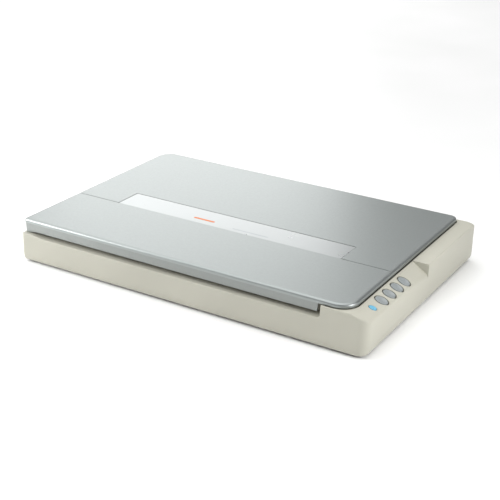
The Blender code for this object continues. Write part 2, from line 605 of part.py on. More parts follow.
# ---------------------------------------------------------------- drive train
def build_drive():
    bracket = box("motor_bracket", (DRIVE_X - 0.006, MOTOR_Y - 0.0200, 0.0335),
                  (MOTOR_X + 0.0215, BELT_Y + 0.020, 0.0350),
                  "steel")
    cut(bracket, cylinder("cut_shaft", (MOTOR_X, MOTOR_Y, 0.034), 0.0052, 0.01),
        cylinder("cut_axle", (DRIVE_X, BELT_Y, 0.034), 0.0018, 0.01))
    join(bracket, box("bracket_leg", (MOTOR_X + 0.0200, MOTOR_Y - 0.0200, TRAY_FLOOR + GAP),
                      (MOTOR_X + 0.0215, BELT_Y + 0.020, 0.0345)))
    motor = cylinder("stepper_motor", (MOTOR_X, MOTOR_Y, 0.0429), 0.0175, 0.0152, "steel", sides=32)
    cut(motor, cylinder("cut_motor_shaft", (MOTOR_X, MOTOR_Y, 0.036), 0.0016, 0.010, sides=16))
    toward = atan2(BELT_Y - MOTOR_Y, DRIVE_X - MOTOR_X)
    pinion = add("motor_pinion", gear_mesh("motor_pinion", PINION_TEETH, GEAR_LOW - 0.0003, GEAR_HIGH,
                                           toward),
                 "steel", (MOTOR_X, MOTOR_Y, 0))
    join(pinion, cylinder("shaft", (MOTOR_X, MOTOR_Y, 0.0355), 0.0012, 0.0090, sides=12))
    half_tooth = pi / GEAR_TEETH
    gear = add("reduction_gear", gear_mesh("reduction_gear", GEAR_TEETH, GEAR_LOW, GEAR_HIGH,
                                           toward + pi + half_tooth),
               "nylon_gear", (DRIVE_X, BELT_Y, 0))
    join(gear, cylinder("drum", (DRIVE_X, BELT_Y, 0.0240), PULLEY_RADIUS - GAP, 0.0094),
         cylinder("drum_rim", (DRIVE_X, BELT_Y, 0.0190), 0.0085, 0.0014))
    cut(gear, cylinder("cut_gear", (DRIVE_X, BELT_Y, 0.0250), 0.0018, 0.05, sides=16))
    cylinder("gear_axle", (DRIVE_X, BELT_Y, (TRAY_FLOOR + GAP + 0.0348) / 2), 0.0014,
             0.0348 - TRAY_FLOOR - GAP, "steel",
             sides=16)
    idler_low = BELT_LOW - 0.0014
    turned("idler_pulley", (IDLER_X, BELT_Y, 0),
           [(0.0018, 0.0272), (0.0076, 0.0272), (0.0076, 0.0258), (PULLEY_RADIUS - GAP, 0.0258),
            (PULLEY_RADIUS - GAP, BELT_LOW - GAP), (0.0076, BELT_LOW - GAP), (0.0076, idler_low - 0.0004),
            (0.0018, idler_low - 0.0004), (0.0018, 0.0272)],
           "nylon_gear")
    bracket = box("idler_bracket", (IDLER_X - 0.0062, BELT_Y - 0.009, TRAY_FLOOR + GAP),
                  (LEFT + 0.0255, BELT_Y + 0.009, 0.0100),
                  "grey_plastic")
    join(bracket, cylinder("idler_axle", (IDLER_X, BELT_Y, 0.0180), 0.0014, 0.0190, sides=16),
         box("spring_face", (LEFT + 0.0235, BELT_Y - 0.004, 0.008),
             (LEFT + 0.0255, BELT_Y + 0.004, 0.0160)))
    coil("tension_spring", (LEFT + 0.0262, BELT_Y, 0.0118), "X", 0.0138, 0.0024, 0.0003, 5)
    build_belt()


def build_belt():
    """A closed loop round both pulleys: a stadium outline with a thickness."""
    inner = PULLEY_RADIUS

    def stadium(radius, low, high, name, finish=None):
        return box(name, (IDLER_X - radius, BELT_Y - radius, low),
                   (DRIVE_X + radius, BELT_Y + radius, high), finish,
                   radius * 0.9999, 10)

    belt = stadium(inner + BELT_THICKNESS, BELT_LOW, BELT_HIGH, "drive_belt", "rubber")
    cut(belt, stadium(inner, BELT_LOW - 0.01, BELT_HIGH + 0.01, "cut_belt"))


def build_ribbon():
    """A flat cable from the main board along the tray, rising to the parked carriage."""
    low_y, width = FRONT + 0.226, 0.018
    start = (LEFT + 0.4950, 0.0120)
    floor = 0.0070
    end = (CARRIAGE_X + 0.0105 + 0.0006, 0.0380)
    bend = [start, (start[0] - 0.010, 0.0118), (start[0] - 0.020, floor), (LEFT + 0.110, floor)]
    rise = 12
    for i in range(1, rise + 1):
        share = i / rise
        swing = (1 - cos(pi * share)) / 2
        bend.append((LEFT + 0.110 + (end[0] - LEFT - 0.110) * share, floor + (end[1] - floor) * swing))
    mesh = bpy.data.meshes.new("ribbon_cable")
    points = [(x, low_y + side * width, z) for x, z in bend for side in (0, 1)]
    faces = [(2 * i, 2 * i + 1, 2 * i + 3, 2 * i + 2) for i in range(len(bend) - 1)]
    mesh.from_pydata(points, [], faces)
    made = add("ribbon_cable", mesh, "flat_cable")
    solid = made.modifiers.new("thickness", "SOLIDIFY")
    solid.thickness = 0.0004
    solid.offset = 0


build_housing()
build_tray()
build_feet()
build_screws()
build_sockets()
build_glass()
build_lid()
build_hinges()
build_buttons()
build_button_board()
build_main_board()
build_carriage()
build_guide()
build_drive()
build_ribbon()
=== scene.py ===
"""Looks of the flatbed scanner: moulded shells, lid, buttons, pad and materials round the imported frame."""

import bmesh
import bpy
from math import acos, atan2, copysign, cos, degrees, pi, radians, sin, sqrt
from mathutils import Matrix, Vector


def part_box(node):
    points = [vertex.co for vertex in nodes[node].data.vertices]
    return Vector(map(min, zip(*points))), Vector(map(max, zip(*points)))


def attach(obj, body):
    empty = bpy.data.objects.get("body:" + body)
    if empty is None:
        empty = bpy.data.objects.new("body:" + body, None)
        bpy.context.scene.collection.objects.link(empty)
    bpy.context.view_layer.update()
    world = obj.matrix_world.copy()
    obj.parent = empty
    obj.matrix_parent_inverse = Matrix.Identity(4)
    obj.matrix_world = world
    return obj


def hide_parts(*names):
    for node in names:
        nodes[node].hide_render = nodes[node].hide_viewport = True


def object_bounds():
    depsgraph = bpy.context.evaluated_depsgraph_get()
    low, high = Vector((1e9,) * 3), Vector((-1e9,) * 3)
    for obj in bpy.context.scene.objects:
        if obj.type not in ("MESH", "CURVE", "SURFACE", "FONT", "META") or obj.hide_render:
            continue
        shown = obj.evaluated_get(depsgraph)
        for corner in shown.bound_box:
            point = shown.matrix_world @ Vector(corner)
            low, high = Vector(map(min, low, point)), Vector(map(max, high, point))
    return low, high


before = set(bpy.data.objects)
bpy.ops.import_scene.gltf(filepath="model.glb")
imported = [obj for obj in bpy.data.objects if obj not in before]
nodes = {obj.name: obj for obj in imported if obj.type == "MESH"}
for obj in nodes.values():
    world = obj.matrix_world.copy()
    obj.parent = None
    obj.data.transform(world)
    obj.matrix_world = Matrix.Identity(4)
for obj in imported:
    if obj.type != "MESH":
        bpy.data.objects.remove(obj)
cad_low, cad_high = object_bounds()

# Lengths below are millimetres, from the left side, the front and the desk.
MM = 0.001
WIDTH, DEPTH, HEIGHT = ((cad_high - cad_low) / MM)[:]


def place(x, y, z):
    return Vector((cad_low.x + x * MM, cad_low.y + y * MM, cad_low.z + z * MM))


def box_mm(node):
    """A node's low and high corners in these millimetres."""
    low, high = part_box(node)
    return (Vector(low) - cad_low) / MM, (Vector(high) - cad_low) / MM


LID_LOW, LID_HIGH = box_mm("lid_shell")
STRIP_LOW, STRIP_HIGH = box_mm("lid_accent_strip")
GLASS_LOW, GLASS_HIGH = box_mm("platen_glass")
BASE_LOW, BASE_HIGH = box_mm("upper_housing")
PAD_LOW, PAD_HIGH = box_mm("document_pad")

# Corner radii, in the order front left, front right, back right, back left.
BASE_CORNERS = (5, 16, 5, 5)
LID_CORNERS = (5, 25, 12, 25)

# The housing's walls and floors.
BASE_BOTTOM, BASE_TOP = BASE_LOW.z, BASE_HIGH.z
FRONT_DRAFT = 4                      # how far the front leans back over its full height
TUCK, TUCK_HEIGHT = 3.5, 17.0        # the wall turns in towards the desk below this height
TUCK_CORNER = (0.3, 0.8)             # the point that this turn bends round: inset, height above the bottom
WALL = 3.4
DECK, LEDGE, SIDE_LEDGE = 57, 43.5, 46
SEAT_FLOOR, DECK_UNDERSIDE, CAVITY_TOP = 53.2, 51, 40.5
SEAT_GAP, SEAT_BREAK = 0.3, 0.3      # round the glass, and the broken edge above it
WINDOW_INSET = 5.7                   # how far the window's edge lies inside the glass's edge
EDGE_BREAK = 0.5                     # where the panel and the raised strip meet the lid's pocket
EDGE_RADII = {"recess": 1.2, "side": 0.8, "open": 2.0, "strip": 5.0, "raised": 1.4}
BACK_FALL, BACK_FALL_REACH = 3, 14   # the raised strip dips into its back corner

# The finger recess along the front, the narrow ledge on the left and the button panel on the right.
RECESS_LEFT, RAMP_END, RECESS_RIGHT, RECESS_BACK = 19, 50, 519, 24
END_RADIUS = 5                       # the recess's floor turns up into its right end
SIDE_LEDGE_WIDTH, SIDE_LEDGE_BACK = 7, 365.2
PANEL_LEFT, PANEL_WIDTH, PANEL_BACK = WIDTH - 27, 27, 206
PANEL_DROP, PANEL_DROP_MORE, PANEL_SWEEP = 6.5, 5.5, 5.6
DECK_RIGHT = PANEL_LEFT - 6
CAVITY_LOW, CAVITY_HIGH = (10, 27), (PANEL_LEFT - 3, 361)
WELL_FLOOR, WELL_TOP = 30, 59        # the wells that the hinge posts slide in
STEP = 0.02                          # two stations this far apart make an upright step

# The lid and its skirt.
LID_TOP = HEIGHT - 0.05
RIM_BOTTOM, LID_ROOF, LID_WALL = 62, 66.3, 2.5
CROWN_WIDTH, CROWN_HEIGHT = 5.0, 2.4
GROOVE_WIDTH, GROOVE_DEPTH = 1.2, 1.0
LID_GAP = 1.2                        # between the lid and the pocket that it closes into
OPEN_BACK = LID_HIGH.x - 5.5         # the pocket is open at the back as far as this
SKIRT_REAR, SKIRT_RIGHT, SKIRT_SLANT = 364, 511.5, 1.5
SKIRT_TOP, SKIRT_THICKNESS, SKIRT_INSET = 62.6, 2.3, 1.0
SKIRT_LOW, SKIRT_HIGH = 46.5, 49.3   # its lower edge, at the side and over the finger recess
SKIRT_RISE_START, SKIRT_RISE_WIDTH = 8, 16

# The pad.
PAD_CUTS = (48, 34, 4)               # along its length, its depth and its thickness
PAD_ROLL, PAD_ROLL_WIDTH = 0.9, 3.0  # the lower face turns up at its edges
PAD_WAIST, PAD_LIP = 0.7, 0.9        # the sides pull in at mid height and at the lower edge

# The buttons.
BUTTON_Y, POWER_Y, BUTTON_X = (72, 97, 122, 146), 44, 576.5
BUTTON_RADII, POWER_RADII = (9.4, 8.0), (5.8, 4.5)
BUTTON_GAP, POWER_GAP = (1.9, 1.7), (0.8, 0.8)
BUTTON_DISH, POWER_DISH = 1.1, 0.3
PROUD, STEM_GAP = 0.55, 1.2


# ---------------------------------------------------------------- camera
def add_camera():
    """The photograph's view: from the front right, slightly rolled."""
    azimuth, elevation, roll = radians(30.677), radians(23.837), radians(1.090)
    position, focal_length = Vector((0.81265, -1.36864, 0.71997)), 79.88
    back = Vector((sin(azimuth) * cos(elevation), -cos(azimuth) * cos(elevation), sin(elevation)))
    level = (-back).cross(Vector((0, 0, 1))).normalized()
    upright = level.cross(-back)
    right = cos(roll) * level + sin(roll) * upright
    up = -sin(roll) * level + cos(roll) * upright
    data = bpy.data.cameras.new("camera")
    data.lens = focal_length
    camera = bpy.data.objects.new("camera", data)
    camera.matrix_world = Matrix.Translation(position) @ Matrix((right, up, back)).transposed().to_4x4()
    bpy.context.scene.collection.objects.link(camera)
    bpy.context.scene.camera = camera


add_camera()


# ---------------------------------------------------------------- materials
class Nodes:
    """A new material with its Principled shader, and short calls that add the nodes it needs."""

    def __init__(self, name):
        self.material = bpy.data.materials.new(name)
        self.material.use_nodes = True
        self.tree = self.material.node_tree
        self.shader = self.tree.nodes["Principled BSDF"]
        self.coordinates = self.add("ShaderNodeTexCoord").outputs["Object"]

    def add(self, kind, **values):
        node = self.tree.nodes.new(kind)
        for name, value in values.items():
            setattr(node, name, value)
        return node

    def link(self, source, target):
        self.tree.links.new(source, target)

    def stretched(self, scale):
        """Object coordinates, scaled apart on each axis."""
        mapping = self.add("ShaderNodeMapping")
        mapping.inputs["Scale"].default_value = scale
        self.link(self.coordinates, mapping.inputs["Vector"])
        return mapping.outputs["Vector"]

    def noise(self, scale, detail=3.0, roughness=0.5, vector=None):
        node = self.add("ShaderNodeTexNoise")
        node.inputs["Scale"].default_value = scale
        node.inputs["Detail"].default_value = detail
        node.inputs["Roughness"].default_value = roughness
        self.link(vector or self.coordinates, node.inputs["Vector"])
        return node.outputs["Fac"]

    def voronoi(self, scale, distance="EUCLIDEAN"):
        node = self.add("ShaderNodeTexVoronoi", distance=distance)
        node.inputs["Scale"].default_value = scale
        self.link(self.coordinates, node.inputs["Vector"])
        return node.outputs["Distance"]

    def between(self, factor, low, high, start=0.35, end=0.65):
        """Colour that runs from low to high as the factor runs from start to end."""
        ramp = self.add("ShaderNodeValToRGB")
        first, last = ramp.color_ramp.elements
        first.position, last.position = start, end
        first.color, last.color = (*low, 1), (*high, 1)
        self.link(factor, ramp.inputs["Fac"])
        return ramp.outputs["Color"]

    def span(self, factor, low, high, start=0.3, end=0.7):
        """Number that runs from low to high as the factor runs from start to end."""
        node = self.add("ShaderNodeMapRange")
        node.inputs["From Min"].default_value = start
        node.inputs["From Max"].default_value = end
        node.inputs["To Min"].default_value = low
        node.inputs["To Max"].default_value = high
        self.link(factor, node.inputs["Value"])
        return node.outputs["Result"]

    def bump(self, height, strength, distance):
        node = self.add("ShaderNodeBump")
        node.inputs["Strength"].default_value = strength
        node.inputs["Distance"].default_value = distance
        self.link(height, node.inputs["Height"])
        self.link(node.outputs["Normal"], self.shader.inputs["Normal"])

    def colour(self, source):
        self.link(source, self.shader.inputs["Base Color"])

    def roughness(self, source):
        self.link(source, self.shader.inputs["Roughness"])

    def set(self, **values):
        for name, value in values.items():
            self.shader.inputs[name.replace("_", " ")].default_value = value


def shade(colour, factor):
    return tuple(channel * factor for channel in colour)


def moulded(name, colour, rough=0.45, grain=1400):
    """Spark-eroded moulded plastic: a fine even grain and a faint drift of tone."""
    made = Nodes(name)
    drift = made.noise(9, 2)
    made.colour(made.between(drift, shade(colour, 0.97), shade(colour, 1.03)))
    grain_height = made.noise(grain, 2, 0.6)
    made.roughness(made.span(grain_height, rough - 0.05, rough + 0.07))
    made.bump(grain_height, 0.35, 0.00004)
    made.set(Specular_IOR_Level=0.4)
    return made.material


def metallic_paint(name, colour):
    """Silver paint with fine flakes under a satin coat."""
    made = Nodes(name)
    flakes = made.noise(2200, 1)
    made.colour(made.between(flakes, shade(colour, 0.975), shade(colour, 1.025)))
    peel = made.noise(260, 2, 0.5)
    made.roughness(made.span(peel, 0.33, 0.40))
    made.bump(peel, 0.10, 0.00003)
    made.set(Metallic=0.8, Coat_Weight=0.15, Coat_Roughness=0.2)
    return made.material


def gloss_silver(name, colour):
    """The smooth strip let into the lid: faint cloudiness, hardly any texture."""
    made = Nodes(name)
    cloud = made.noise(30, 3)
    made.colour(made.between(cloud, shade(colour, 0.985), shade(colour, 1.015)))
    made.roughness(made.span(cloud, 0.27, 0.31))
    made.bump(made.noise(400, 1), 0.04, 0.00002)
    made.set(Metallic=0.8, Coat_Weight=0.2, Coat_Roughness=0.25)
    return made.material


def brushed_metal(name, colour):
    """Bright metal with fine streaks along X."""
    made = Nodes(name)
    streaks = made.noise(1, 3, 0.6, made.stretched((30, 2500, 2500)))
    made.colour(made.between(streaks, shade(colour, 0.9), shade(colour, 1.08)))
    made.roughness(made.span(streaks, 0.22, 0.38))
    made.bump(streaks, 0.08, 0.00002)
    made.set(Metallic=1.0)
    return made.material


def rubber(name):
    """Black rubber with fine matt pores."""
    made = Nodes(name)
    pores = made.noise(1800, 4, 0.7)
    made.colour(made.between(pores, (0.018, 0.018, 0.018), (0.045, 0.045, 0.044)))
    made.roughness(made.span(pores, 0.70, 0.92))
    made.bump(pores, 0.5, 0.00006)
    return made.material


def clear_glass(name):
    """Float glass: clear, with the faint green that it shows, and a few specks of dust."""
    made = Nodes(name)
    dust = made.noise(900, 2, 0.8)
    made.roughness(made.span(dust, 0.01, 0.05, start=0.6, end=0.8))
    made.colour(made.between(dust, (0.90, 0.97, 0.95), (0.86, 0.93, 0.91), start=0.6, end=0.8))
    made.set(Transmission_Weight=1.0, IOR=1.52)
    return made.material


def circuit_board(name):
    """Green solder mask over blocky copper traces."""
    made = Nodes(name)
    traces = made.voronoi(260, "CHEBYCHEV")
    made.colour(made.between(traces, (0.012, 0.13, 0.045), (0.03, 0.24, 0.09), start=0.25, end=0.32))
    made.roughness(made.span(traces, 0.28, 0.40))
    made.bump(traces, 0.2, 0.00005)
    return made.material


def foam_film(name):
    """White film over foam: nearly smooth, with the foam's cells just showing through."""
    made = Nodes(name)
    cells = made.voronoi(420)
    cloud = made.noise(14, 3)
    made.colour(made.between(cloud, (0.84, 0.84, 0.83), (0.90, 0.90, 0.89)))
    made.roughness(made.span(cells, 0.55, 0.70, start=0.1))
    made.bump(cells, 0.12, 0.0001)
    made.set(Sheen_Weight=0.15)
    return made.material


def tinted_plastic(name, colour, rough, glow=0.0):
    """Plastic under a thin clear coat, which may glow faintly."""
    made = Nodes(name)
    cloud = made.noise(500, 2)
    made.colour(made.between(cloud, shade(colour, 0.94), shade(colour, 1.06)))
    made.roughness(made.span(cloud, rough - 0.04, rough + 0.06))
    made.bump(cloud, 0.12, 0.00003)
    made.set(Coat_Weight=0.3, Coat_Roughness=0.15)
    if glow:
        made.set(Emission_Color=(*colour, 1), Emission_Strength=glow)
    return made.material


IVORY = moulded("ivory_plastic", (0.465, 0.457, 0.39))
SILVER = metallic_paint("silver_lid", (0.32, 0.345, 0.34))
# The skirt's silver is the lid's paint made darker: painted shade for the skirt that hangs under the rim.
SILVER_PAINTED_SHADE = metallic_paint("silver_painted_shade", (0.27, 0.285, 0.275))
GLOSS = gloss_silver("gloss_strip", (0.40, 0.42, 0.42))
WHITE = moulded("white_plastic", (0.80, 0.80, 0.78), 0.5)
FOAM = foam_film("white_foam")
BLACK = moulded("black_plastic", (0.025, 0.025, 0.026), 0.5)
GREY = moulded("grey_plastic", (0.27, 0.27, 0.28), 0.5)
BUTTON = tinted_plastic("button_grey", (0.27, 0.295, 0.30), 0.32)
BLUE = tinted_plastic("power_blue", (0.14, 0.42, 0.60), 0.25, glow=0.05)
GLASS = clear_glass("clear_glass")
STEEL = brushed_metal("steel", (0.62, 0.62, 0.63))
RUBBER = rubber("rubber")
BOARD = circuit_board("circuit_board")
NYLON = moulded("nylon_gear", (0.80, 0.78, 0.70), 0.42, 900)
FLAT_CABLE = moulded("flat_cable", (0.72, 0.72, 0.70), 0.35, 600)
LENS = tinted_plastic("lens_acrylic", (0.42, 0.48, 0.56), 0.12)
ACCENT = tinted_plastic("accent_orange", (0.62, 0.15, 0.015), 0.55)
PRINT_GREY = tinted_plastic("print_grey", (0.30, 0.33, 0.35), 0.45)

for finish, names in {
    IVORY: ["bottom_tray"],
    WHITE: ["lid_inner_panel", "left_ruler", "rear_ruler"],
    BLACK: ["carriage", "cis_housing", "power_inlet"],
    GREY: ["hinge_post_left", "hinge_post_right", "hinge_leaf_left", "hinge_leaf_right", "rod_holder_left",
           "rod_holder_right", "idler_bracket"],
    GLASS: ["platen_glass", "cis_light_guide"],
    STEEL: ["usb_port", "hinge_pin_left", "hinge_pin_right", "guide_rod", "gear_axle", "motor_bracket",
            "stepper_motor", "motor_pinion", "tension_spring", "cis_spring_front", "cis_spring_rear",
            "tray_screw_1", "tray_screw_2", "tray_screw_3", "tray_screw_4"],
    RUBBER: ["foot_1", "foot_2", "foot_3", "foot_4", "drive_belt"],
    BOARD: ["main_board", "button_board"],
    NYLON: ["rail_slider_front", "rail_slider_rear", "reduction_gear", "idler_pulley"],
    FLAT_CABLE: ["ribbon_cable"],
    LENS: ["cis_lens_array"],
}.items():
    for node_name in names:
        for material_slot in nodes[node_name].material_slots:
            material_slot.material = finish


# ---------------------------------------------------------------- mesh helpers
def shown(name, data):
    """A new object in the scene."""
    made = bpy.data.objects.new(name, data)
    bpy.context.scene.collection.objects.link(made)
    return made


def finish_piece(name, shape, material, body, smooth_angle, bevel=0.0):
    """Turns a bmesh into a shaded piece that rides on a body."""
    bmesh.ops.recalc_face_normals(shape, faces=shape.faces)
    mesh = bpy.data.meshes.new(name)
    shape.to_mesh(mesh)
    shape.free()
    mesh.materials.append(material)
    mesh.shade_smooth()
    mesh.set_sharp_from_angle(angle=radians(smooth_angle))
    piece = shown(name, mesh)
    if bevel:
        rounding = piece.modifiers.new("rounding", "BEVEL")
        rounding.width = bevel * MM
        rounding.segments = 3
        rounding.limit_method = "ANGLE"
        rounding.angle_limit = radians(smooth_angle)
    piece.modifiers.new("even_shading", "WEIGHTED_NORMAL").keep_sharp = True
    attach(piece, body)
    return piece


def bezier(start, corner, end, count):
    """Points of a quadratic curve that rounds a corner, both ends included."""
    found = []
    for i in range(count + 1):
        t = i / count
        found.append(start * (1 - t) ** 2 + corner * 2 * t * (1 - t) + end * t ** 2)
    return found


def spread(start, end, step):
    """Evenly spaced numbers from start up to, but without, end."""
    count = max(1, round(abs(end - start) / step))
    return [start + (end - start) * i / count for i in range(count)]


def loft(rows, joined=True):
    """A mesh through rows of points, one profile to a row. It joins up with its start, or is capped."""
    shape = bmesh.new()
    grid = [[shape.verts.new(place(*point)) for point in row] for row in rows]
    count, length = len(rows), len(rows[0])
    for i in range(count if joined else count - 1):
        this, following = grid[i], grid[(i + 1) % count]
        for j in range(length):
            k = (j + 1) % length
            shape.faces.new([this[j], following[j], following[k], this[k]])
    if not joined:
        shape.faces.new(grid[0])
        shape.faces.new(reversed(grid[-1]))
    bmesh.ops.remove_doubles(shape, verts=shape.verts, dist=1e-6)
    return shape


def box_shape(low, high, radius=0.0):
    """A closed box, its upright edges rounded."""
    shape = bmesh.new()
    bmesh.ops.create_cube(shape, size=1)
    low, high = place(*low), place(*high)
    bmesh.ops.scale(shape, vec=high - low, verts=shape.verts)
    bmesh.ops.translate(shape, vec=(low + high) / 2, verts=shape.verts)
    if radius:
        upright = [e for e in shape.edges if abs(e.verts[0].co.z - e.verts[1].co.z) > 1e-7]
        bmesh.ops.bevel(shape, geom=upright, offset=radius * MM, segments=6, profile=0.5, affect="EDGES")
    return shape


def shape_object(name, shape):
    """A helper object from a bmesh, with its faces turned outward."""
    bmesh.ops.recalc_face_normals(shape, faces=shape.faces)
    mesh = bpy.data.meshes.new(name)
    shape.to_mesh(mesh)
    shape.free()
    return shown(name, mesh)


def carve(shape, cutters):
    """The shape with closed cutter shapes taken out of it by exact Booleans."""
    holder = shape_object("carved", shape)
    helpers = [shape_object("cutter", cutter) for cutter in cutters]
    for helper in helpers:
        step = holder.modifiers.new("cut", "BOOLEAN")
        step.operation = "DIFFERENCE"
        step.solver = "EXACT"
        step.object = helper
    graph = bpy.context.evaluated_depsgraph_get()
    result = bpy.data.meshes.new_from_object(holder.evaluated_get(graph))
    carved = bmesh.new()
    carved.from_mesh(result)
    for done in [holder, *helpers]:
        bpy.data.objects.remove(done, do_unlink=True)
    return carved


# ---------------------------------------------------------------- the housing's shape
def panel_drop(y):
    """How far the panel's outer edge lies below its inner edge."""
    along = min(max(y / PANEL_BACK, 0), 1)
    return PANEL_DROP + PANEL_DROP_MORE * along + PANEL_SWEEP * along ** 6


def panel_tilt(y):
    return atan2(panel_drop(y), PANEL_WIDTH)


def panel_height(x, y):
    return BASE_TOP - panel_drop(y) * max(x - PANEL_LEFT, 0) / PANEL_WIDTH


def ledge_height(x):
    """Floor of the finger recess along the front: a ramp at its left, a turned-up end at its right."""
    if x < RECESS_LEFT:
        return SIDE_LEDGE
    if x < RAMP_END:
        share = (x - RECESS_LEFT) / (RAMP_END - RECESS_LEFT)
        return SIDE_LEDGE + (LEDGE - SIDE_LEDGE) * (1 - (1 - share) ** 2)
    rise = max(x - (RECESS_RIGHT - END_RADIUS), 0)
    return LEDGE + END_RADIUS - sqrt(max(END_RADIUS ** 2 - rise ** 2, 0))


def shelf_height(x, y, side, station_x):
    """Height of the top face inside the wall, at a point that belongs to a station on this side."""
    if side == "recess":
        return ledge_height(station_x)
    if side == "side":
        return SIDE_LEDGE
    if side == "open":
        return DECK
    if side == "strip":
        return panel_height(x, y)
    from_corner = sqrt((WIDTH - x) ** 2 + (DEPTH - y) ** 2)
    return BASE_TOP - BACK_FALL * max(1 - from_corner / BACK_FALL_REACH, 0) ** 1.5


# The corners of the pocket that the lid closes into: centre x, centre y, radius.
POCKET_FRONT = (LID_HIGH.x - LID_CORNERS[1], LID_LOW.y + LID_CORNERS[1], LID_CORNERS[1] + LID_GAP)
POCKET_BACK = (LID_HIGH.x - LID_CORNERS[2], LID_HIGH.y - LID_CORNERS[2], LID_CORNERS[2] + LID_GAP)


def corner_arc(centre_x, centre_y, radius, start_degrees):
    """Stations on one rounded corner of the footprint: place and outward direction."""
    found, count = [], 14
    for i in range(count):
        angle = radians(start_degrees + 90 * i / count)
        found.append((centre_x + radius * cos(angle), centre_y + radius * sin(angle), cos(angle), sin(angle)))
    return found


def front_edge():
    """Places along the recess, closer together where its floor bends."""
    end_bend = RECESS_RIGHT - END_RADIUS
    places = [*spread(BASE_CORNERS[0], RECESS_LEFT, 3), *spread(RECESS_LEFT, RAMP_END, 2.5)]
    places += [*spread(RAMP_END, end_bend - 9, 12), *spread(end_bend - 9, end_bend, 3)]
    places += [end_bend + END_RADIUS * sin(radians(turn)) for turn in range(0, 90, 10)]
    return [*places, RECESS_RIGHT]


def footprint():
    """Stations round the footprint, anticlockwise from the front left: x, y, outward direction, side."""
    w, d = WIDTH, DEPTH
    front_left, front_right, back_right, back_left = BASE_CORNERS
    bend_x, bend_front_y, bend_back_y = POCKET_FRONT[0], POCKET_FRONT[1], POCKET_BACK[1]
    fine, medium, coarse = 3, 5, 12

    stations = [(x, 0, 0, -1, "recess") for x in front_edge()]
    places = (RECESS_RIGHT + STEP, *spread(RECESS_RIGHT + 3, bend_x, medium),
              *spread(bend_x, w - front_right, fine))
    stations += [(x, 0, 0, -1, "strip") for x in places]
    stations += [(*s, "strip") for s in corner_arc(w - front_right, front_right, front_right, -90)]

    places = (*spread(front_right, bend_front_y, fine), *spread(bend_front_y, PANEL_BACK, medium), PANEL_BACK)
    stations += [(w, y, 1, 0, "strip") for y in places]
    places = (PANEL_BACK + STEP, *spread(PANEL_BACK + 4, bend_back_y, coarse),
              *spread(bend_back_y, d - back_right, 2))
    stations += [(w, y, 1, 0, "raised") for y in places]
    stations += [(*s, "raised") for s in corner_arc(w - back_right, d - back_right, back_right, 0)]

    stations += [(x, d, 0, 1, "raised") for x in (*spread(w - back_right, OPEN_BACK, fine), OPEN_BACK)]
    stations += [(x, d, 0, 1, "open") for x in (OPEN_BACK - STEP, *spread(OPEN_BACK - 4, back_left, coarse))]
    stations += [(*s, "open") for s in corner_arc(back_left, d - back_left, back_left, 90)]

    side_end = SIDE_LEDGE_BACK + STEP
    stations += [(0, y, -1, 0, "open") for y in (*spread(d - back_left, side_end, fine), side_end)]
    places = (SIDE_LEDGE_BACK, *spread(SIDE_LEDGE_BACK - 4, front_left, coarse))
    stations += [(0, y, -1, 0, "side") for y in places]
    stations += [(*s, "side") for s in corner_arc(front_left, front_left, front_left, 180)]
    return stations


def share_along(x, y, start, end):
    """How far a footprint point is round the corner between two points, measured along the straight sides."""
    total = abs(end[0] - start[0]) + abs(end[1] - start[1])
    return (abs(x - start[0]) + abs(y - start[1])) / total


def pocket_point(corner, turn):
    centre_x, centre_y, radius = corner
    return centre_x + radius * cos(radians(turn)), centre_y + radius * sin(radians(turn))


def inner_edge(x, y, side):
    """The point of the lid's pocket, recess wall or deck edge that a footprint point faces."""
    if side == "recess":
        return min(max(x, SIDE_LEDGE_WIDTH), RECESS_RIGHT), RECESS_BACK
    if side == "side":
        return SIDE_LEDGE_WIDTH, min(max(y, RECESS_BACK), SIDE_LEDGE_BACK)
    if side == "open":
        return min(max(x, SIDE_LEDGE_WIDTH), OPEN_BACK), min(y, DEPTH - SIDE_LEDGE_WIDTH)
    front_x, front_y, front_radius = POCKET_FRONT
    back_x, back_y, back_radius = POCKET_BACK
    if side == "strip" and x <= front_x:
        return x, front_y - front_radius
    if front_y <= y <= back_y:
        return back_x + back_radius, y
    if y < front_y:
        return pocket_point(POCKET_FRONT, -90 + 90 * share_along(x, y, (front_x, 0), (WIDTH, front_y)))
    last_turn = degrees(acos((OPEN_BACK - back_x) / back_radius))
    return pocket_point(POCKET_BACK, last_turn * share_along(x, y, (WIDTH, back_y), (OPEN_BACK, DEPTH)))


def clamp_to(x, y, low, high):
    return min(max(x, low[0]), high[0]), min(max(y, low[1]), high[1])


def inside_profile(inner_x, inner_y):
    """The part of a profile inside the deck: the glass's seat, its window and the cavity."""
    gap = Vector((SEAT_GAP, SEAT_GAP))
    cover = Vector((WINDOW_INSET, WINDOW_INSET))
    seat = clamp_to(inner_x, inner_y, GLASS_LOW.xy - gap, GLASS_HIGH.xy + gap)
    window = clamp_to(inner_x, inner_y, GLASS_LOW.xy + cover, GLASS_HIGH.xy - cover)
    cavity = clamp_to(inner_x, inner_y, CAVITY_LOW, CAVITY_HIGH)
    return [
        Vector((*seat, DECK - SEAT_BREAK)), Vector((*seat, SEAT_FLOOR)),
        Vector((*window, SEAT_FLOOR)), Vector((*window, DECK_UNDERSIDE)),
        Vector((*cavity, DECK_UNDERSIDE)), Vector((*cavity, CAVITY_TOP)),
    ]


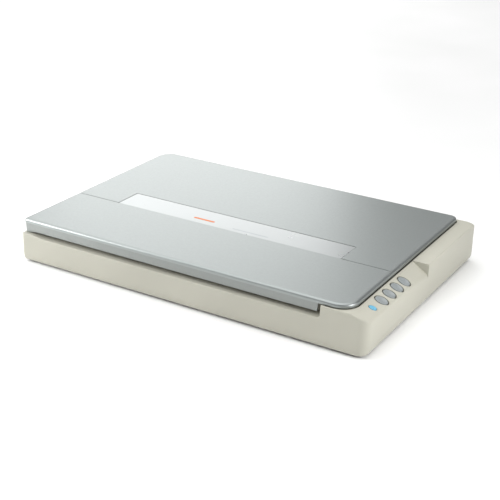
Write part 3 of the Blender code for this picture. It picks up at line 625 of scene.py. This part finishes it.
def housing_profile(x, y, nx, ny, side):
    """One station's closed profile: bottom lip, wall, rounded edge, shelf, deck, glass seat and cavity."""
    outward = Vector((nx, ny, 0))

    def wall_point(inset, z):
        """A point of the outer wall; the front leans back with height."""
        lean = FRONT_DRAFT * (z - BASE_BOTTOM) / (BASE_TOP - BASE_BOTTOM) * max(-ny, 0)
        return Vector((x, y, z)) - outward * inset + Vector((0, lean, 0))

    def shelf(at_x, at_y):
        return shelf_height(at_x, at_y, side, x)

    lip, rise = TUCK_CORNER
    profile = bezier(wall_point(TUCK, BASE_BOTTOM), wall_point(lip, BASE_BOTTOM + rise),
                     wall_point(0, TUCK_HEIGHT), 7)

    inner_x, inner_y = inner_edge(x, y, side)
    edge = wall_point(0, shelf(x, y))
    edge.z = shelf(edge.x, edge.y)
    toward = Vector((inner_x - edge.x, inner_y - edge.y, 0))
    reach = toward.length
    toward.normalize()
    radius = EDGE_RADII[side]
    low = wall_point(0, edge.z - radius)
    profile += [profile[-1].lerp(low, share) for share in (0.33, 0.67)]
    meets_pocket = side in ("strip", "raised")
    if meets_pocket:
        radius = min(radius, reach * 0.45)
        shelf_end = reach - EDGE_BREAK
    else:
        shelf_end = min(reach * 0.4, 3.2)
        radius = min(radius, shelf_end * 0.8)
    start = edge + toward * radius
    start.z = shelf(start.x, start.y)
    profile += bezier(low, edge, start, 5)
    across = 7
    for step in range(1, across + 1):
        at = edge + toward * (radius + (shelf_end - radius) * step / across)
        at.z = shelf(at.x, at.y)
        profile.append(at)

    inner = Vector((inner_x, inner_y, 0))
    at_deck = Vector((inner_x, inner_y, DECK))
    inner_z = shelf(inner_x, inner_y)
    if meets_pocket:
        deck = clamp_to(inner_x, inner_y, (SIDE_LEDGE_WIDTH, RECESS_BACK), (DECK_RIGHT, SIDE_LEDGE_BACK))
        profile += [inner + Vector((0, 0, inner_z - EDGE_BREAK)), at_deck, Vector((*deck, DECK))]
    else:
        further = edge.lerp(inner, 0.7)
        profile += [Vector((further.x, further.y, inner_z)), inner + Vector((0, 0, inner_z)), at_deck]
    profile += inside_profile(inner_x, inner_y)
    return [*profile, wall_point(WALL, CAVITY_TOP), wall_point(WALL, BASE_BOTTOM)]


def on_panel(shape, y):
    """Stands a shape made about the origin, in millimetres, on the panel's slope, in the buttons' row."""
    origin = place(BUTTON_X, y, panel_height(BUTTON_X, y))
    move = Matrix.Translation(origin) @ Matrix.Rotation(panel_tilt(y), 4, "Y") @ Matrix.Scale(MM, 4)
    bmesh.ops.transform(shape, matrix=move, verts=shape.verts)
    return shape


def turned(profile, radii, sides=64):
    """A closed oval solid about Z, from (share of the radius, height) points, top to bottom."""
    shape = bmesh.new()
    rings = []
    for share, z in profile:
        if share == 0:
            rings.append([shape.verts.new((0, 0, z))])
            continue
        angles = [2 * pi * i / sides for i in range(sides)]
        across, along = share * radii[0], share * radii[1]
        rings.append([shape.verts.new((across * cos(angle), along * sin(angle), z)) for angle in angles])
    for upper, lower in zip(rings, rings[1:]):
        for i in range(sides):
            k = (i + 1) % sides
            if len(upper) == 1:
                shape.faces.new((upper[0], lower[i], lower[k]))
            elif len(lower) == 1:
                shape.faces.new((upper[i], lower[0], upper[k]))
            else:
                shape.faces.new((upper[i], lower[i], lower[k], upper[k]))
    return shape


def button_hole(y, radii, gap):
    above, below = 5, -9
    size = (radii[0] + gap[0], radii[1] + gap[1])
    return on_panel(turned([(0, above), (1, above), (1, below), (0, below)], size, 48), y)


def build_housing():
    """The upper housing, with the button holes, the hinge posts' wells and the sockets' holes cut into it."""
    cutters = [button_hole(y, BUTTON_RADII, BUTTON_GAP) for y in BUTTON_Y]
    cutters.append(button_hole(POWER_Y, POWER_RADII, POWER_GAP))
    play = 0.3
    for side in ("left", "right"):
        low, high = box_mm(f"hinge_post_{side}")
        cutters.append(box_shape((low.x - play, low.y - play, WELL_FLOOR),
                                 (high.x + play, high.y + play, WELL_TOP), 0.6))
    wide, tall, past_wall, plug_depth = 0.5, 0.4, 3, 4
    for port in ("usb_port", "power_inlet"):
        low, high = box_mm(port)
        cutters.append(box_shape((low.x - wide, low.y + plug_depth, low.z - tall),
                                 (high.x + wide, DEPTH + past_wall, high.z + tall), 0.5))
    shape = carve(loft([housing_profile(*station) for station in footprint()]), cutters)
    housing = finish_piece("housing_shell", shape, IVORY, "base", 32)
    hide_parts("upper_housing")


build_housing()


# ---------------------------------------------------------------- lid
def lid_outline(inset):
    """Points round the lid, anticlockwise from its front right corner, this far in from its edge."""
    found, count, sharpest = [], 16, 0.2
    front_left, front_right, back_right, back_left = (max(radius, inset + sharpest) for radius in LID_CORNERS)
    low, high = LID_LOW, LID_HIGH
    for centre_x, centre_y, radius, start in (
        (high.x - front_right, low.y + front_right, front_right, -90),
        (high.x - back_right, high.y - back_right, back_right, 0),
        (low.x + back_left, high.y - back_left, back_left, 90),
        (low.x + front_left, low.y + front_left, front_left, 180),
    ):
        for i in range(count + 1):
            angle = radians(start + 90 * i / count)
            reach = radius - inset
            found.append(Vector((centre_x + reach * cos(angle), centre_y + reach * sin(angle))))
    return found


def ring_stack(levels):
    """A closed solid from (inset, height) outlines of the lid, the first and last filled."""
    shape = bmesh.new()
    rings = [[shape.verts.new(place(*point, z)) for point in lid_outline(inset)] for inset, z in levels]
    count = len(rings[0])
    for lower, upper in zip(rings, rings[1:]):
        for i in range(count):
            k = (i + 1) % count
            shape.faces.new((lower[i], lower[k], upper[k], upper[i]))
    shape.faces.new(rings[0])
    shape.faces.new(rings[-1])
    return shape


def build_lid():
    """The lid's top: a crowned edge, the rim below it, the strip's seat and the seam on either side of it."""
    levels = [(LID_WALL, LID_ROOF), (LID_WALL, RIM_BOTTOM + 0.3), (LID_WALL - 0.3, RIM_BOTTOM),
              (0.5, RIM_BOTTOM), (0.12, RIM_BOTTOM + 0.15), (0, RIM_BOTTOM + 0.6)]
    crown_start, crown_end = Vector((0, RIM_BOTTOM + CROWN_HEIGHT)), Vector((CROWN_WIDTH, LID_TOP))
    crown = bezier(crown_start, Vector((0, LID_TOP)), crown_end, 8)
    levels += [tuple(point) for point in crown]

    above, half = HEIGHT + 1, GROOVE_WIDTH / 2
    groove_floor, seam_y = HEIGHT - GROOVE_DEPTH, STRIP_LOW.y
    strip_seat = box_shape((STRIP_LOW.x - GROOVE_WIDTH, STRIP_LOW.y - 0.25, STRIP_LOW.z - 0.15),
                           (STRIP_HIGH.x + 0.3, STRIP_HIGH.y + GROOVE_WIDTH, above), 2.2)
    seam_left = box_shape((LID_LOW.x - 1, seam_y - half, groove_floor),
                          (STRIP_LOW.x + 1, seam_y + half, above))
    seam_right = box_shape((STRIP_HIGH.x - 1, seam_y - half, groove_floor),
                           (LID_HIGH.x - 4, seam_y + half, above))
    cutters = [strip_seat, seam_left, seam_right]
    for side in ("left", "right"):
        low, high = box_mm(f"hinge_leaf_{side}")
        cutters.append(box_shape((low.x - 1.5, LID_HIGH.y - 6, RIM_BOTTOM - 5),
                                 (high.x + 1.5, LID_HIGH.y + 5, LID_ROOF), 0.8))
    lid = finish_piece("lid_top", carve(ring_stack(levels), cutters), SILVER, "lid", 25)
    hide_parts("lid_shell")


def skirt_path():
    """The skirt's outer line: from the rear of the left side, round the corner, to the recess's right end."""
    radius = LID_CORNERS[0]
    centre_x, centre_y, reach = LID_LOW.x + radius, LID_LOW.y + radius, radius - SKIRT_INSET
    left, front = LID_LOW.x + SKIRT_INSET, LID_LOW.y + SKIRT_INSET
    fine, coarse, corner_end, last = 3, 14, 60, SKIRT_RIGHT - 3.5
    path = [(left, y, -1, 0) for y in spread(SKIRT_REAR, centre_y, coarse)]
    for i in range(17):
        angle = radians(180 + 90 * i / 16)
        path.append((centre_x + reach * cos(angle), centre_y + reach * sin(angle), cos(angle), sin(angle)))
    places = (*spread(centre_x + 2, corner_end, fine), *spread(corner_end, last, coarse), last, SKIRT_RIGHT)
    return path + [(x, front, 0, -1) for x in places]


def skirt_bottom(x, y):
    """Lower edge: down to the side ledge at the corner, lifted over the finger recess."""
    if y > LID_LOW.y + 6:
        return SKIRT_LOW
    share = min(max((x - SKIRT_RISE_START) / SKIRT_RISE_WIDTH, 0), 1)
    return SKIRT_LOW + (SKIRT_HIGH - SKIRT_LOW) * share * share * (3 - 2 * share)


def skirt_profile(x, y, nx, ny, slant):
    """One station of the skirt: a thin wall with a rounded lower edge; slant leans its upper end along X."""
    bottom, edge = skirt_bottom(x, y), 0.6

    def point(inset, z):
        lean = slant * (z - bottom) / (SKIRT_TOP - bottom)
        return Vector((x - nx * inset + lean, y - ny * inset, z))

    inside = bezier(point(SKIRT_THICKNESS, bottom + edge), point(SKIRT_THICKNESS, bottom),
                    point(SKIRT_THICKNESS - edge, bottom), 3)
    outside = bezier(point(edge, bottom), point(0, bottom), point(0, bottom + edge), 3)
    step = 0.45
    return [point(SKIRT_THICKNESS, SKIRT_TOP), *inside, *outside, point(0, SKIRT_TOP - 0.9),
            point(step, SKIRT_TOP - 0.5), point(step, SKIRT_TOP)]


def build_skirt():
    path = skirt_path()
    slants = [0.0] * (len(path) - 1) + [SKIRT_SLANT]
    shape = loft([skirt_profile(*station, slant) for station, slant in zip(path, slants)], joined=False)
    # The skirt wears the darker copy of the lid's silver, which is painted shade.
    finish_piece("lid_skirt", shape, SILVER_PAINTED_SHADE, "lid", 30)


def build_accent_strip():
    """The gloss strip, with a plain pill and a plain bar where printing would be."""
    top = LID_TOP + STRIP_HIGH.z - HEIGHT
    shape = box_shape(STRIP_LOW, (STRIP_HIGH.x, STRIP_HIGH.y, top), 1.8)
    strip = finish_piece("accent_strip", shape, GLOSS, "lid", 30, bevel=0.25)
    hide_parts("lid_accent_strip")
    for name, material, middle, length, width in (
        ("accent_pill", ACCENT, (236, 156), 38, 5.0),
        ("accent_bar", PRINT_GREY, (322, 150), 62, 2.2),
    ):
        x, y = middle
        shape = box_shape((x - length / 2, y - width / 2, top - 0.2),
                          (x + length / 2, y + width / 2, top + 0.04), width * 0.49)
        finish_piece(name, shape, material, "lid", 30)


build_lid()
build_skirt()
build_accent_strip()


# ---------------------------------------------------------------- document pad
def edges_along(shape, axis):
    """The edges of a box shape that run along one axis."""
    def apart(edge, k):
        return abs(edge.verts[0].co[k] - edge.verts[1].co[k]) > 1e-7

    return [e for e in shape.edges if [k for k in range(3) if apart(e, k)] == [axis]]


def build_pad():
    """A thin foam pad under white film: crowned faces and sides that pull in, flat where it is glued."""
    shape = box_shape(PAD_LOW, PAD_HIGH)
    for axis, cuts in enumerate(PAD_CUTS):
        bmesh.ops.subdivide_edges(shape, edges=edges_along(shape, axis), cuts=cuts, use_grid_fill=True)
    centre = place(*((PAD_LOW + PAD_HIGH) / 2))
    half = (PAD_HIGH - PAD_LOW) * MM / 2
    for vert in shape.verts:
        local = vert.co - centre
        u, v, w = local.x / half.x, local.y / half.y, local.z / half.z
        if w < 0.99:
            from_edge = min((1 - abs(u)) * half.x, (1 - abs(v)) * half.y) / MM
            roll = max(0.0, 1 - from_edge / PAD_ROLL_WIDTH)
            vert.co.z += PAD_ROLL * MM * roll ** 2 * (1 - w) / 2
        at_corner = min(1.0, (1 - min(abs(u), abs(v))) * 12)
        pull = PAD_WAIST * (1 - w * w) + PAD_LIP * max(-w, 0) ** 3
        pull *= MM * (0.4 + 0.6 * at_corner)
        if abs(u) > 0.999:
            vert.co.x -= copysign(pull, u)
        if abs(v) > 0.999:
            vert.co.y -= copysign(pull, v)
    pad = finish_piece("foam_pad", shape, FOAM, "lid", 60)
    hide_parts("document_pad")


build_pad()


# ---------------------------------------------------------------- buttons
def cap_profile(depth, dish):
    """(Share of the radius, height) points: a shallow dish, a rounded shoulder, a flange and a stem."""
    dish_edge, flange, flange_top, flange_bottom, stem = 0.82, 1.1, -3.6, -4.6, 0.35
    dished = [(r, PROUD - dish * (1 - (r / dish_edge) ** 2)) for r in (0, 0.2, 0.4, 0.6, 0.74)]
    shoulder = [(0.84, PROUD), (0.91, PROUD - 0.06), (0.965, PROUD - 0.3), (0.99, PROUD - 0.65),
                (1.0, PROUD - 1.1)]
    return dished + shoulder + [(1.0, flange_top), (flange, flange_top), (flange, flange_bottom),
                                (stem, flange_bottom), (stem, -depth), (0, -depth)]


def build_button(name, body, y, radii, dish, material):
    """One button, with the stem that reaches down to its switch."""
    depth = (panel_height(BUTTON_X, y) - box_mm(body)[0].z) / cos(panel_tilt(y)) - STEM_GAP
    shape = on_panel(turned(cap_profile(depth, dish), radii), y)
    cap = finish_piece(name, shape, material, body, 35)
    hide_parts(body)


for number, button_y in enumerate(BUTTON_Y, 1):
    build_button(f"button_cap_{number}", f"function_button_{number}", button_y, BUTTON_RADII, BUTTON_DISH,
                 BUTTON)
build_button("power_cap", "power_button", POWER_Y, POWER_RADII, POWER_DISH, BLUE)


# ---------------------------------------------------------------- light and floor
def add_floor(half_width, below):
    """A plain pale floor, just under the feet. Its lengths are metres, as are the lights'."""
    mesh = bpy.data.meshes.new("floor")
    shape = bmesh.new()
    bmesh.ops.create_grid(shape, x_segments=1, y_segments=1, size=half_width)
    shape.to_mesh(mesh)
    shape.free()
    made = Nodes("floor_white")
    cloud = made.noise(3, 2)
    made.colour(made.between(cloud, (0.93, 0.935, 0.93), (0.95, 0.95, 0.95)))
    made.roughness(made.span(cloud, 0.30, 0.36))
    made.set(Specular_IOR_Level=0.25)
    mesh.materials.append(made.material)
    floor = shown("floor", mesh)
    floor.location.z = -below


def add_softbox(name, location, target, size, power):
    data = bpy.data.lights.new(name, "AREA")
    data.shape = "RECTANGLE"
    data.size, data.size_y = size
    data.energy = power
    light = shown(name, data)
    light.location = location
    light.rotation_mode = "QUATERNION"
    light.rotation_quaternion = (Vector(target) - Vector(location)).to_track_quat("-Z", "Y")


def add_sky_lamp(turn_x, turn_y, strength, spread_degrees):
    """A broad overhead lamp that lights the whole floor alike."""
    data = bpy.data.lights.new("overhead", "SUN")
    data.energy = strength
    data.angle = radians(spread_degrees)
    lamp = shown("overhead", data)
    lamp.rotation_euler = (radians(turn_x), radians(turn_y), 0)


def add_world(strength):
    world = bpy.data.worlds.new("studio")
    world.use_nodes = True
    background = world.node_tree.nodes["Background"]
    background.inputs["Color"].default_value = (1, 1, 1, 1)
    background.inputs["Strength"].default_value = strength
    bpy.context.scene.world = world


add_floor(half_width=30, below=0.0002)
add_world(strength=0.25)
add_sky_lamp(turn_x=-4, turn_y=-24, strength=2.6, spread_degrees=90)
add_softbox("key_left", (-0.95, -0.75, 0.42), target=(-0.35, -0.2, 0.03), size=(0.45, 0.4), power=8.5)
add_softbox("side_right", (0.95, -0.17, 0.4), target=(0.3, -0.15, 0.03), size=(0.35, 0.3), power=4.0)
add_softbox("lid_glow", (-1.5, 2.0, 0.86), target=(-0.15, 0.1, 0.06), size=(1.3, 0.78), power=7.4)
view = bpy.context.scene.view_settings
view.view_transform = "Standard"
view.look = "None"
